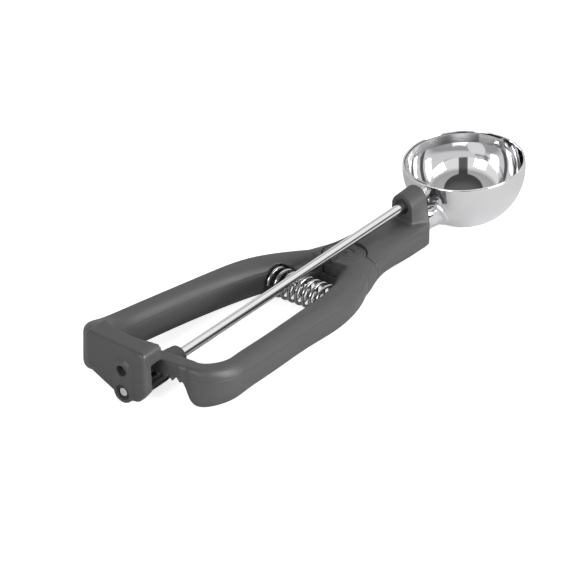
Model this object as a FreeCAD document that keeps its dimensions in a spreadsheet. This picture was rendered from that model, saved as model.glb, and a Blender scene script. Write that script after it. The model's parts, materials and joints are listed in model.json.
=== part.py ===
import FreeCAD, Part
import math
import os
import Sketcher
from FreeCAD import Placement, Rotation, Vector

# A lever ice cream scoop. +X runs from the rear housing to the bowl, +Y to the
# fixed arm and +Z up. The origin is under the middle of the scoop, on the
# surface that it rests on. Lengths are millimetres, angles degrees.
# "back" counts along the scoop, from the bowl's centre towards the rear.

doc = FreeCAD.newDocument("lever_scoop")
sheet = doc.addObject("Spreadsheet::Sheet", "dims")

SIZES = {
    # bowl
    "bowl_x": (93.02, "bowl centre, ahead of the origin"),
    "bowl_radius": (24.8, "outside of the bowl, which rests on the table"),
    "bowl_wall": (0.8, "sheet of the bowl"),
    "rim_rise": (2.4, "rim above the rod's axis, square to the rod"),
    # rod, which rises towards the bowl
    "rod_tilt": (5.45, "slope of the rod"),
    "rod_radius": (2.0, "drive rod"),
    "rod_rear": (210.2, "rear end of the rod, along it from the bowl's centre"),
    "running_gap": (0.06, "radial clearance of a bearing"),
    "bush_wall": (1.1, "bushes round the rod"),
    # scraper
    "strip_radius": (23.2, "middle of the scraper strip, from the bowl's centre"),
    "strip_thick": (0.8, "scraper strip"),
    "strip_width": (4.0, "scraper strip"),
    "strip_drop": (0.1, "strip's middle below the rod's axis at rest"),
    "tab_reach": (2.7, "ends of the strip past the rod's axis"),
    "tab_inset": (0.9, "ends of the strip inside its circle"),
    "rivet_radius": (1.0, "front pivot of the scraper"),
    "rivet_head": (1.7, "head radius of that rivet"),
    "rivet_play": (0.12, "scraper between the rivet's shoulder and the bowl"),
    # neck
    "neck_z": (12.0, "axis of the neck tube above the table"),
    "neck_radius": (6.0, "neck tube"),
    "neck_wall": (1.0, "neck tube"),
    "neck_tang": (8.0, "length of the tube inside the head"),
    "flange_reach": (1.5, "weld flange past the tube"),
    "flange_thick": (0.9, "weld flange"),
    # head of the fixed moulding
    "head_front": (30.7, "front face, back of the bowl's centre"),
    "head_half": (9.2, "half width of the front face"),
    "head_bottom": (1.8, "underside of the head"),
    "parting_z": (11.5, "widest line round the head"),
    "crown_z": (15.2, "top of the head"),
    "turret_rear": (40.0, "rear face of the turret round the rod"),
    "turret_wall": (3.3, "turret round its bush"),
    # hinge
    "hinge_back": (76.0, "hinge axis"),
    "hub_radius": (8.7, "lever's hub"),
    "hub_top": (14.2, "top of the hub"),
    "hub_split": (7.2, "where hub and lower plate meet"),
    "split_gap": (0.3, "gap between the two mouldings"),
    "pin_radius": (2.6, "hinge pin"),
    "pin_cap": (3.8, "cap of the hinge pin"),
    "pin_cap_thick": (1.2, "cap of the hinge pin"),
    "squeeze": (6.1, "travel of the lever"),
    "seam_turn": (72.0, "seam on the lever's side, off the forward direction"),
    # arms
    "arm_top": (17.0, "top of both arms"),
    "arm_thick": (10.0, "width of both arms at the grip"),
    # rack and pinion
    "rack_inner": (115.2, "inner radius of the rack bar round the hinge"),
    "rack_outer": (122.6, "outer radius of the rack bar"),
    "rack_top": (17.4, "top of the rack bar"),
    "bar_sweep": (10.4, "turn of the rack bar about the hinge"),
    "bar_before": (2.2, "turn of the bar past the rod, on the far side"),
    "bar_play": (0.8, "room round the rack bar in the housing"),
    "bar_round": (1.2, "upper edges of the rack bar"),
    "rack_count": (222.0, "teeth that a full circle of the rack would hold"),
    "rack_teeth": (7.0, "teeth on the bar"),
    "pinion_teeth": (9.0, "teeth of the pinion"),
    "tooth_height": (0.85, "teeth above and below the pitch line"),
    "tooth_slope": (30.0, "pressure angle"),
    "root_gap": (0.25, "tooth tips to the roots that they run in"),
    "mesh_phase": (0.11, "first tooth before the rod at rest, in pitches"),
    "tooth_play": (0.42, "tooth space wider than the tooth"),
    "pinion_rear": (201.2, "rear end of the pinion, along the rod"),
    "pinion_face": (11.0, "length of the pinion's teeth"),
    "nose_length": (12.5, "cone ahead of the teeth"),
    "nose_radius": (4.3, "front end of the cone"),
    # rear housing, square to the rod
    "wall_rear": (210.0, "rear face, along the rod from the bowl's centre"),
    "pad_rise": (0.9, "pad round the two holes, behind the rear face"),
    "wall_thick": (4.4, "rear wall"),
    "roof_depth": (10.9, "roof of the housing, at its deepest"),
    "roof_thick": (7.0, "roof of the housing"),
    "palm_depth": (8.0, "roof at its shallowest, ahead of the rear face"),
    "palm_round": (36.0, "hollow of the roof's front edge"),
    "boss_radius": (4.6, "boss round the rear bush"),
    "plug_hole": (2.24, "blind hole above the rear bush"),
    "plug_rise": (9.57, "that hole above the rod's axis"),
    "plug_depth": (4.0, "that hole"),
    # spring
    "spring_back": (100.5, "axis of the return spring"),
    "spring_z": (6.6, "axis of the return spring above the table"),
    "spring_radius": (5.5, "middle of the wire"),
    "spring_wire": (1.4, "wire of the spring"),
    "spring_turns": (7.5, "turns of the spring"),
    "seat_far": (15.2, "bottom of the spring's recess in the fixed arm"),
    "seat_near": (12.9, "bottom of the spring's recess in the lever"),
    "seat_play": (0.7, "recess round the spring"),
}

for row, (alias, (value, meaning)) in enumerate(SIZES.items(), 1):
    sheet.set(f"A{row}", alias)
    sheet.set(f"B{row}", str(value))
    sheet.setAlias(f"B{row}", alias)
    sheet.set(f"C{row}", meaning)
doc.recompute()


def size(alias):
    """The value of one cell of the sheet."""
    return float(getattr(sheet, alias))


def value_of(text):
    """The value of an expression of the sheet's cells."""
    for alias in sorted(SIZES, key=len, reverse=True):
        text = text.replace("dims." + alias, f"({size(alias)})")
    total = sheet.evalExpression(text)
    return float(getattr(total, "Value", total))


# Pieces on the rod are drawn in the rod's own frame: X along the rod, the
# origin at the bowl's centre.
ON_ROD = Placement(Vector(size("bowl_x"), 0, size("bowl_radius")),
                   Rotation(Vector(0, -1, 0), size("rod_tilt")))
ON_TABLE = Placement(Vector(size("bowl_x"), 0, 0), Rotation())
TILT = math.radians(size("rod_tilt"))
parts = []


def rod_height(back):
    """Height of the rod's axis above the table."""
    return size("bowl_radius") - back * math.tan(TILT)


def origin_plane(body, role):
    """One of the body's own origin planes."""
    return [f for f in body.Origin.OriginFeatures if f.Role == role][0]


def new_sketch(body, role, name):
    sketch = body.newObject("Sketcher::SketchObject", name)
    sketch.AttachmentSupport = [(origin_plane(body, role), "")]
    sketch.MapMode = "FlatFace"
    return sketch


def outline(sketch, corners):
    """A closed polygon. Each corner is bound to the sheet in both directions."""
    first = sketch.GeometryCount
    spots = [Vector(value_of(x), value_of(y), 0) for x, y in corners]
    count = len(corners)
    for i in range(count):
        sketch.addGeometry(Part.LineSegment(spots[i], spots[(i + 1) % count]), False)
    for i in range(count):
        sketch.addConstraint(Sketcher.Constraint(
            "Coincident", first + i, 2, first + (i + 1) % count, 1))
    for i, (x, y) in enumerate(corners):
        for kind, text, number in (("DistanceX", x, spots[i].x),
                                   ("DistanceY", y, spots[i].y)):
            held = sketch.addConstraint(
                Sketcher.Constraint(kind, -1, 1, first + i, 1, number))
            sketch.setExpression(f"Constraints[{held}]", text)


def turned(name, corners, placement):
    """A body turned about its X axis from a profile of (along, radius)."""
    body = doc.addObject("PartDesign::Body", name)
    body.Label = name
    sketch = new_sketch(body, "XZ_Plane", name + "_profile")
    outline(sketch, corners)
    turn = body.newObject("PartDesign::Revolution", name + "_turn")
    turn.Profile = sketch
    turn.ReferenceAxis = (sketch, ["H_Axis"])
    turn.Angle = 360
    body.Tip = turn
    body.Placement = placement
    parts.append(body)
    return body


def solid_of(name, shape, placement):
    """A sub-part whose form is sculpted, from a shape made here."""
    feature = doc.addObject("Part::Feature", name)
    feature.Label = name
    feature.Shape = shape
    feature.Placement = placement
    parts.append(feature)
    return feature


def along_x(radius, start, end, y=0.0, z=0.0):
    """A cylinder along X from start to end."""
    return Part.makeCylinder(radius, end - start, Vector(start, y, z), Vector(1, 0, 0))


def upright(radius, low, high, back):
    """A cylinder along Z over a point of the middle plane."""
    return Part.makeCylinder(radius, high - low, Vector(-back, 0, low))


# The bowl: a spherical shell, cut level with its rim, with a hole for the rod
# at the rear and one for the rivet at the front.
bowl_form = doc.addObject("Part::Sphere", "bowl_form")
bowl_form.setExpression("Radius", "dims.bowl_radius")
bowl_form.Angle1 = -90
bowl_form.setExpression("Angle2", "asin(dims.rim_rise / dims.bowl_radius)")
bowl_inside = doc.addObject("Part::Sphere", "bowl_inside")
bowl_inside.setExpression("Radius", "dims.bowl_radius - dims.bowl_wall")
bowl_shell = doc.addObject("Part::Cut", "bowl_shell")
bowl_shell.Base = bowl_form
bowl_shell.Tool = bowl_inside
rod_hole = doc.addObject("Part::Cylinder", "rod_hole")
rod_hole.setExpression("Radius", "dims.rod_radius + 4 * dims.running_gap")
rod_hole.setExpression("Height", "dims.bowl_radius")
rod_hole.Placement = Placement(Vector(), Rotation(Vector(0, 1, 0), -90))
rivet_hole = doc.addObject("Part::Cylinder", "rivet_hole")
rivet_hole.setExpression("Radius", "dims.rivet_radius")
rivet_hole.setExpression("Height", "dims.bowl_radius + dims.bowl_wall")
rivet_hole.Placement = Placement(Vector(), Rotation(Vector(0, 1, 0), 90))
bowl_holes = doc.addObject("Part::Fuse", "bowl_holes")
bowl_holes.Base = rod_hole
bowl_holes.Tool = rivet_hole
bowl = doc.addObject("Part::Cut", "bowl")
bowl.Label = "bowl"
bowl.Base = bowl_shell
bowl.Tool = bowl_holes
bowl.Placement = ON_ROD
parts.append(bowl)

# The drive rod runs from the rear bush to the inside of the bowl, where its
# end is turned down, put through the scraper and peened over.
turned("drive_rod", (
    ("-dims.rod_rear", "0"),
    ("-dims.rod_rear", "dims.rod_radius - 0.3"),
    ("-dims.rod_rear + 0.3", "dims.rod_radius"),
    ("-dims.strip_radius + dims.tab_inset - dims.strip_thick / 2", "dims.rod_radius"),
    ("-dims.strip_radius + dims.tab_inset - dims.strip_thick / 2",
     "dims.rod_radius * 0.6"),
    ("-dims.strip_radius + dims.tab_inset + dims.strip_thick / 2",
     "dims.rod_radius * 0.6"),
    ("-dims.strip_radius + dims.tab_inset + dims.strip_thick / 2",
     "dims.rod_radius * 0.9"),
    ("-dims.strip_radius + dims.tab_inset + dims.strip_thick * 1.5",
     "dims.rod_radius * 0.6"),
    ("-dims.strip_radius + dims.tab_inset + dims.strip_thick * 1.5", "0"),
), ON_ROD)

# The scraper: a flat strip bent to a half ring that clears the inside of the
# bowl. Its ends come off the circle and cross the rod's axis as square tabs.
strip_out = size("strip_radius") + size("strip_thick") / 2
strip_in = size("strip_radius") - size("strip_thick") / 2
TAB_TURN = math.radians(22)


def strip_end(side, radius):
    """Where the ring ends and its tab starts, on one side of the bowl."""
    return Vector(side * radius * math.cos(TAB_TURN), radius * math.sin(TAB_TURN), 0)


def strip_outline():
    edges = []
    for radius in (strip_out, strip_in):
        edges.append(Part.Arc(strip_end(-1, radius), Vector(0, radius, 0),
                              strip_end(1, radius)).toShape())
    for side in (-1, 1):
        ends = []
        for radius in (strip_out, strip_in):
            reach = side * (radius - size("tab_inset"))
            foot = Vector(reach, size("tab_reach"), 0)
            tip = Vector(reach, -size("tab_reach"), 0)
            edges.append(Part.makeLine(strip_end(side, radius), foot))
            edges.append(Part.makeLine(foot, tip))
            ends.append(tip)
        edges.append(Part.makeLine(ends[0], ends[1]))
    return Part.Face(Part.Wire(Part.__sortEdges__(edges)))


strip = strip_outline().extrude(Vector(0, 0, size("strip_width")))
strip.translate(Vector(0, 0, -size("strip_width") / 2 - size("strip_drop")))
strip = strip.cut(along_x(size("rod_radius") * 0.6, -size("bowl_radius"), 0))
strip = strip.cut(along_x(size("rivet_radius") + size("running_gap"),
                          0, size("bowl_radius")))
solid_of("scraper", strip, ON_ROD)

# The rivet is closed through the front of the bowl. Its shoulder holds the
# scraper off the wall.
turned("scraper_rivet", (
    ("dims.strip_radius - dims.tab_inset - dims.strip_thick * 1.5", "0"),
    ("dims.strip_radius - dims.tab_inset - dims.strip_thick * 1.5",
     "dims.rivet_head * 0.6"),
    ("dims.strip_radius - dims.tab_inset - dims.strip_thick / 2 - dims.rivet_play",
     "dims.rivet_head"),
    ("dims.strip_radius - dims.tab_inset - dims.strip_thick / 2 - dims.rivet_play",
     "dims.rivet_radius"),
    ("dims.bowl_radius + dims.running_gap", "dims.rivet_radius"),
    ("dims.bowl_radius + dims.running_gap", "dims.rivet_head"),
    ("dims.bowl_radius + dims.strip_thick / 2", "dims.rivet_head * 0.7"),
    ("dims.bowl_radius + dims.strip_thick / 2", "0"),
), ON_ROD)

# The neck: a tube from the head to the bowl, trimmed to the bowl's sphere,
# with a flange that is welded round it.
neck_start = -size("head_front") - size("neck_tang")
neck = along_x(size("neck_radius"), neck_start, 0, z=size("neck_z"))
neck = neck.cut(along_x(size("neck_radius") - size("neck_wall"),
                        neck_start, 0, z=size("neck_z")))
bowl_middle = Vector(0, 0, size("bowl_radius"))
flange = Part.makeSphere(size("bowl_radius") + size("flange_thick"), bowl_middle)
flange = flange.common(along_x(size("neck_radius") + size("flange_reach"),
                               neck_start, 0, z=size("neck_z")))
neck = neck.fuse(flange).cut(Part.makeSphere(size("bowl_radius"), bowl_middle))
solid_of("neck_tube", neck.removeSplitter(), ON_TABLE)

# Bushes that carry the rod, in the turret and in the rear wall.
turned("front_bush", (
    ("-dims.turret_rear", "dims.rod_radius + dims.running_gap"),
    ("-dims.turret_rear", "dims.rod_radius + dims.bush_wall"),
    ("-dims.head_front - 1", "dims.rod_radius + dims.bush_wall"),
    ("-dims.head_front - 1", "dims.rod_radius + dims.running_gap"),
), ON_ROD)
turned("rear_bush", (
    ("-dims.wall_rear - dims.pad_rise + 0.4", "dims.rod_radius + dims.running_gap"),
    ("-dims.wall_rear - dims.pad_rise + 0.4", "dims.rod_radius + dims.bush_wall"),
    ("-dims.wall_rear + dims.wall_thick", "dims.rod_radius + dims.bush_wall"),
    ("-dims.wall_rear + dims.wall_thick", "dims.rod_radius + dims.running_gap"),
), ON_ROD)


# The sculpted arms and head are lofted through closed sections. A section is an
# oblong with elliptic corners, between an outer and an inner point of the plan.
def quarter(start, corner, end):
    """A quarter of an ellipse inside a corner."""
    curve = Part.BezierCurve()
    curve.setPoles([start, corner, end])
    curve.setWeight(2, math.sqrt(0.5))
    return curve.toShape()


def section(outer, inner, low, top, outer_round, inner_round, top_round):
    """A closed curve in the upright plane through two points of the plan.

    Each round is a corner's (width, height): low outside, low inside and top."""
    a = Vector(-outer[0], outer[1], 0)
    b = Vector(-inner[0], inner[1], 0)
    run = (b - a).normalize()
    lift = Vector(0, 0, 1)
    corners = ((a, low, run, lift, outer_round), (b, low, -run, lift, inner_round),
               (b, top, -run, -lift, top_round), (a, top, run, -lift, top_round))
    rounds = []
    for foot, height, inward, upward, (wide, high) in corners:
        tip = foot + Vector(0, 0, height)
        rounds.append([tip + upward * high, tip, tip + inward * wide])
    rounds[1].reverse()
    rounds[3].reverse()
    edges = []
    for i, (start, tip, end) in enumerate(rounds):
        edges.append(quarter(start, tip, end))
        edges.append(Part.makeLine(end, rounds[(i + 1) % 4][0]))
    return Part.Wire(edges)


def mirrored(stations):
    """The same stations on the lever's side."""
    return [((o[0], -o[1]), (i[0], -i[1]), *rest) for o, i, *rest in stations]


def lofted(stations):
    return Part.makeLoft([section(*station) for station in stations], True, False)


def across(back, half, low, top, shoulder=(8.0, 4.5)):
    """A station of the head, as wide on both sides."""
    return (back, half), (back, -half), low, top, (6.0, 5.5), (6.0, 5.5), shoulder


half_head = size("head_half")
crown = size("crown_z")
bottom = size("head_bottom")
head_stations = [
    across(size("head_front") - 1, half_head, bottom, crown + 0.2),
    across(size("turret_rear"), half_head + 0.7, bottom, crown),
    across(50, half_head + 1.3, bottom, crown),
    across(60, half_head + 1.8, bottom, crown),
    across(68, half_head + 3.3, bottom - 0.2, crown - 0.3, (9.0, 5.5)),
    across(76, half_head + 6.4, bottom - 0.2, crown - 0.6, (10.0, 6.5)),
    across(84.2, half_head + 9.5, bottom - 0.2, crown - 1.0, (10.0, 7.0)),
]
head = lofted(head_stations)

arm = size("arm_thick")
top = size("arm_top")


def on_ring(turn, radius):
    """A point of the plan on a circle round the hinge, from straight back."""
    return (size("hinge_back") + radius * math.cos(math.radians(turn)),
            radius * math.sin(math.radians(turn)))


OVAL = (4.6, 7.2)
PALM = (5.6, 7.0)
FINGER = (3.8, 5.0)
SQUARE = (3.2, 3.2)
# The two arms leave the hub alike. Each station is (back, side) at the outside
# and the inside, its bottom and top, and the rounds of its corners.
arm_stations = [
    ((75.0, 12.6), (82.5, 4.5), 2.0, 13.0, (4.5, 5.0), (4.5, 5.0), (4.5, 4.5)),
    ((84.2, 18.6), (89.0, 6.6), 1.6, 14.3, (5.5, 6.0), (4.5, 5.0), (6.0, 6.0)),
    ((94.8, 24.0), (97.0, 10.8), 1.6, 15.1, (6.5, 6.2), (4.5, 5.0), (6.2, 6.2)),
    ((106.0, 27.5), (106.0, 14.2), 1.6, 15.9, (6.5, 6.6), (4.5, 5.0), (5.8, 6.8)),
    ((122.0, 29.2), (121.5, 29.2 - arm * 1.14), 1.6, 16.6, PALM, FINGER, (5.0, 6.8)),
    ((141.0, 30.5), (140.5, 30.5 - arm), 1.5, top, PALM, FINGER, OVAL),
    ((160.0, 32.5), (159.5, 32.5 - arm), 1.3, top, PALM, FINGER, OVAL),
    ((175.0, 33.9), (174.5, 33.9 - arm), 0.9, top, (5.6, 7.6), FINGER, OVAL),
]
# On the fixed side the arm rises and turns into the rear housing.
far_corner = [
    ((188.0, 33.2), (184.5, 23.7), 1.0, 18.2, (5.0, 6.5), FINGER, (4.3, 6.0)),
    ((197.5, 29.8), (191.8, 21.9), 2.2, 21.2, (4.4, 5.4), (3.4, 4.0), (3.8, 4.6)),
    ((204.2, 24.4), (197.4, 18.6), 4.4, 23.9, (3.6, 4.0), SQUARE, (3.2, 3.4)),
    ((207.9, 18.4), (201.2, 14.4), 7.4, 25.0, SQUARE, SQUARE, (2.8, 2.8)),
    ((208.9, 12.0), (202.8, 9.8), 9.5, 25.2, SQUARE, SQUARE, (2.6, 2.6)),
]
# On the lever's side it turns square and ends as the rack bar.
inner_ring = size("rack_inner")
outer_ring = size("rack_outer")
bar_top = size("rack_top")
near_corner = [
    ((182.6, 33.8), (180.4, 24.7), 0.6, top + 0.1, (5.0, 6.4), FINGER, (4.2, 6.0)),
    ((189.0, 31.6), (184.8, 24.1), 0.4, top + 0.2, (4.2, 4.8), (3.6, 4.2), (3.4, 4.4)),
    ((193.6, 28.2), (187.5, 23.0), 0.4, top + 0.3, (3.2, 3.4), (3.0, 3.2), (2.8, 3.2)),
    (on_ring(11.4, outer_ring), on_ring(10.8, inner_ring), 0.9, bar_top,
     (2.8, 3.2), (2.6, 3.0), (2.2, 2.4)),
    (on_ring(9.9, outer_ring), on_ring(9.7, inner_ring), 4.6, bar_top,
     (2.2, 2.8), (2.2, 2.8), (1.8, 1.8)),
    (on_ring(8.8, outer_ring), on_ring(8.8, inner_ring), 9.8, bar_top,
     (1.6, 1.8), (1.6, 1.8), (1.4, 1.4)),
    (on_ring(7.8, outer_ring), on_ring(7.8, inner_ring), 12.6, bar_top,
     (1.2, 1.2), (1.2, 1.2), (1.2, 1.2)),
]
far_arm = lofted(arm_stations + far_corner)
near_arm = lofted(mirrored(arm_stations + near_corner))

# The head's front face is flat, with rounded upright corners.
FRONT_CORNER = 4.5
CHIN_ROUND = 4.5
TALL = 60.0
FRONT = -size("head_front")


def rounded_front(shape):
    """Cuts the front face flat and rounds its upright corners and its chin."""
    shape = shape.cut(Part.makeBox(TALL, TALL, TALL,
                                   Vector(FRONT, -TALL / 2, -TALL / 4)))
    side = half_head + 0.2
    for way in (-1, 1):
        middle = Vector(FRONT - FRONT_CORNER, way * (side - FRONT_CORNER), -TALL / 4)
        start = min(way * side + way * FRONT_CORNER, middle.y)
        waste = Part.makeBox(FRONT_CORNER, 2 * FRONT_CORNER, TALL,
                             Vector(middle.x, start, middle.z))
        shape = shape.cut(waste.cut(Part.makeCylinder(FRONT_CORNER, TALL, middle)))
    middle = Vector(FRONT - CHIN_ROUND, -TALL / 2, bottom + CHIN_ROUND)
    waste = Part.makeBox(CHIN_ROUND, TALL, 2 * CHIN_ROUND,
                         Vector(middle.x, middle.y, bottom - CHIN_ROUND))
    return shape.cut(waste.cut(
        Part.makeCylinder(CHIN_ROUND, TALL, middle, Vector(0, 1, 0))))


# The turret: an arch round the front bush that flares into the head.
def arch(back, foot, half):
    """A tombstone section: a foot wider than the arch on top of it."""
    axis = rod_height(back)
    radius = size("rod_radius") + size("bush_wall") + size("turret_wall") - 1.2
    base = size("parting_z")
    left = Vector(-back, half, axis)
    right = Vector(-back, -half, axis)
    crest = Vector(-back, 0, axis + half)
    low_left = Vector(-back, foot, base)
    low_right = Vector(-back, -foot, base)
    return Part.Wire([
        Part.makeLine(low_right, right),
        Part.Arc(right, crest, left).toShape(),
        Part.makeLine(left, low_left),
        Part.makeLine(low_left, low_right),
    ])


turret_half = size("rod_radius") + size("bush_wall") + size("turret_wall") - 1.2
turret = Part.makeLoft([arch(size("turret_rear"), turret_half + 0.3, turret_half),
                        arch(size("head_front"), half_head - 0.3, turret_half + 0.3)],
                       True, True)
head = rounded_front(head.fuse(turret))

# The fork between head and arms is parted at the hinge. The lever has the
# sector behind the seam, and above the split it has the whole hub.
hinge = Vector(-size("hinge_back"), 0, 0)
FORK_REACH = 60.0


def sector(start, end, inner, low, high):
    """Upright wedge about the hinge, between two turns off forward, clockwise."""
    ring_face = Part.Wire([
        Part.makeLine(Vector(inner, 0, low), Vector(FORK_REACH, 0, low)),
        Part.makeLine(Vector(FORK_REACH, 0, low), Vector(FORK_REACH, 0, high)),
        Part.makeLine(Vector(FORK_REACH, 0, high), Vector(inner, 0, high)),
        Part.makeLine(Vector(inner, 0, high), Vector(inner, 0, low)),
    ])
    wedge = Part.Face(ring_face).revolve(Vector(), Vector(0, 0, -1), end - start)
    wedge.rotate(Vector(), Vector(0, 0, -1), start)
    wedge.translate(hinge)
    return wedge


gap = size("split_gap")
seam = size("seam_turn")
hub = size("hub_radius")
split = size("hub_split")
gap_turn = math.degrees(gap / (hub + 3))
tall = size("arm_top") + 20
lever_zone = sector(seam + gap_turn, 180, 0.1, -5, tall)
fixed_cut = sector(seam, 180, hub, -5, tall)
fixed_cut = fixed_cut.fuse(upright(hub + gap, split, tall, size("hinge_back")))
lever_cut = upright(hub + gap, -5, split + gap, size("hinge_back"))

# The hinge pin: pressed into the lower plate, its cap sunk in the hub's top.
pin_low = size("head_bottom")
cap_low = size("hub_top") - size("pin_cap_thick")
pin = upright(size("pin_radius"), pin_low, cap_low, size("hinge_back"))
pin = pin.fuse(upright(size("pin_cap"), cap_low, size("hub_top"), size("hinge_back")))
pin = pin.removeSplitter()
solid_of("hinge_pin", pin, ON_TABLE)

# Spring recesses in the inner faces of both arms.
spring_out = size("spring_radius") + size("spring_wire") / 2


def recess(side, depth):
    """A round recess with its bottom at a given distance from the middle."""
    return Part.makeCylinder(spring_out + size("seat_play"), depth,
                             Vector(-size("spring_back"), side * depth, size("spring_z")),
                             Vector(0, -side, 0))


# The rear housing: a wall square to the rod with a roof ahead of it.
def housing_outline(offset):
    """The wall seen along the rod, as (side, height over the rod's axis)."""
    corners = [(18.2, 21.6), (-11.0, 19.8), (-11.0, 2.0), (-6.5, -3.2),
               (2.0, -3.6), (17.2, 4.2), (18.6, 8.0)]
    wire = Part.makePolygon([Vector(offset, y, z) for y, z in corners + corners[:1]])
    return Part.Face(wire)


wall_x = -size("wall_rear")
wall = housing_outline(wall_x).extrude(Vector(size("roof_depth"), 0, 0))
long_edges = [e for e in wall.Edges
              if abs(e.Length - size("roof_depth")) < 1e-6]
wall = wall.makeFillet(2.6, long_edges)
palm = upright(size("palm_round"), -TALL, TALL, 0)
palm.translate(Vector(wall_x + size("palm_depth") + size("palm_round"), 3, 0))
wall = wall.cut(palm)
boss = along_x(size("boss_radius"), wall_x - size("pad_rise"),
               wall_x + size("wall_thick"))
pad = along_x(size("boss_radius"), wall_x - size("pad_rise"), wall_x + 1,
              z=size("plug_rise"))
pad = pad.fuse(Part.makeBox(size("pad_rise") + 1, 2 * size("boss_radius"),
                            size("plug_rise"),
                            Vector(wall_x - size("pad_rise"), -size("boss_radius"), 0)))
under_roof = Part.makeBox(20, 36, 30,
                          Vector(wall_x + size("wall_thick"), -20,
                                 20.0 - size("roof_thick") - 30))
wall = wall.cut(under_roof)
rear_edges = [e for e in wall.Edges
              if abs(e.BoundBox.XMax - wall_x) < 1e-6]
wall = wall.makeFillet(1.6, rear_edges)
pad = pad.fuse(boss).removeSplitter()
pad_edges = [e for e in pad.Edges
             if abs(e.BoundBox.XMax - wall_x + size("pad_rise")) < 1e-6]
wall = wall.fuse(pad.makeFillet(0.5, pad_edges))
wall.Placement = Placement(Vector(0, 0, size("bowl_radius")), ON_ROD.Rotation)


# The rack: a sector bar about the hinge, its underside sloped like the rod,
# with teeth that mesh with the pinion from above.
mesh_back = size("hinge_back") + (size("rack_inner") + size("rack_outer")) / 2
mesh_radius = mesh_back - size("hinge_back")
pitch = 2 * math.pi * mesh_radius / size("rack_count")
pinion_pitch = pitch * size("pinion_teeth") / (2 * math.pi)
tooth = size("tooth_height")
slope = math.radians(size("tooth_slope"))
root_gap = size("root_gap")


def over_rod(back, rise):
    """A point over the rod's axis, square to it, in the middle plane."""
    return Vector(-back, 0, rod_height(back) + rise / math.cos(TILT))


inner_back = size("hinge_back") + size("rack_inner")
outer_back = size("hinge_back") + size("rack_outer")
bar_low = pinion_pitch + tooth + root_gap
bar_edge = size("bar_round")
bar_inner = Vector(-inner_back, 0, bar_top)
bar_outer = Vector(-outer_back, 0, bar_top)
sink = Vector(0, 0, -bar_edge)
step = Vector(bar_edge, 0, 0)
bar_wire = Part.Wire([
    Part.makeLine(over_rod(inner_back, bar_low), over_rod(outer_back, bar_low)),
    Part.makeLine(over_rod(outer_back, bar_low), bar_outer + sink),
    quarter(bar_outer + sink, bar_outer, bar_outer + step),
    Part.makeLine(bar_outer + step, bar_inner - step),
    quarter(bar_inner - step, bar_inner, bar_inner + sink),
    Part.makeLine(bar_inner + sink, over_rod(inner_back, bar_low)),
])
tooth_turn = 360 / size("rack_count")
# Turning about +Z from the rear takes the bar towards the lever's side.
bar = Part.Face(bar_wire).revolve(hinge, Vector(0, 0, 1), size("bar_sweep"))
bar.rotate(hinge, Vector(0, 0, 1), -size("bar_before"))


def rack_tooth():
    """One tooth, pointing down at the rod, parallel to it."""
    half_low = pitch / 4 - tooth * math.tan(slope) - size("tooth_play") / 4
    half_high = pitch / 4 + (tooth + 1.0) * math.tan(slope) - size("tooth_play") / 4
    low = pinion_pitch - tooth
    high = pinion_pitch + tooth + 1.0
    start = over_rod(outer_back, 0)
    run = over_rod(inner_back, 0) - start
    up = Vector(-math.sin(TILT), 0, math.cos(TILT))
    corners = [Vector(0, half_low, 0) + up * low, Vector(0, half_high, 0) + up * high,
               Vector(0, -half_high, 0) + up * high, Vector(0, -half_low, 0) + up * low]
    wire = Part.makePolygon([start + c for c in corners + corners[:1]])
    return Part.Face(wire).extrude(run)


# At rest a tooth stands a little past the rod, on the far side.
teeth = []
for i in range(int(size("rack_teeth"))):
    copy = rack_tooth()
    copy.rotate(hinge, Vector(0, 0, 1), (i - 1 + size("mesh_phase")) * tooth_turn)
    teeth.append(copy)
ring_keep = Part.makeCylinder(size("rack_outer"), 40, hinge + Vector(0, 0, -10))
ring_keep = ring_keep.cut(Part.makeCylinder(size("rack_inner"), 40,
                                            hinge + Vector(0, 0, -10)))
rack = bar.multiFuse(teeth).common(ring_keep)


# The pinion: involute teeth on the rod, then a cone.
def involute(base, radius):
    """Polar angle that the involute of a base circle has gained at a radius."""
    turn = math.acos(min(1.0, base / radius))
    return math.tan(turn) - turn


def pinion_outline():
    base = pinion_pitch * math.cos(slope)
    outer = pinion_pitch + tooth
    root = pinion_pitch - tooth - root_gap
    half_pitch = (math.pi / 2 - size("tooth_play") / pitch * math.pi / 2)
    half_pitch = half_pitch / size("pinion_teeth") + involute(base, pinion_pitch)
    count = int(size("pinion_teeth"))
    steps = 4
    radii = [base + (outer - base) * k / steps for k in range(steps + 1)]
    edges = []
    last = None
    first = None
    for i in range(count):
        mid = math.pi / 2 + 2 * math.pi * (i + 0.5 + size("mesh_phase")) / count
        up_side = [(r, mid - half_pitch + involute(base, r)) for r in radii]
        down = [(r, mid + half_pitch - involute(base, r)) for r in reversed(radii)]
        foot = [(root, mid - half_pitch)]
        heel = [(root, mid + half_pitch)]
        spots = [Vector(0, r * math.cos(a), r * math.sin(a))
                 for r, a in foot + up_side + down + heel]
        if last is not None:
            edges.append(Part.makeLine(last, spots[0]))
        else:
            first = spots[0]
        for a, b in zip(spots, spots[1:]):
            edges.append(Part.makeLine(a, b))
        last = spots[-1]
    edges.append(Part.makeLine(last, first))
    return Part.Face(Part.Wire(edges))


gear_front = -size("pinion_rear") + size("pinion_face")
gear = pinion_outline().extrude(Vector(size("pinion_face"), 0, 0))
gear.translate(Vector(-size("pinion_rear"), 0, 0))
nose = Part.makeCone(pinion_pitch + tooth, size("nose_radius"), size("nose_length"),
                     Vector(gear_front, 0, 0), Vector(1, 0, 0))
pinion = gear.fuse(nose).cut(along_x(size("rod_radius"), -size("rod_rear"), 0))
solid_of("pinion", pinion.removeSplitter(), ON_ROD)

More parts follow.
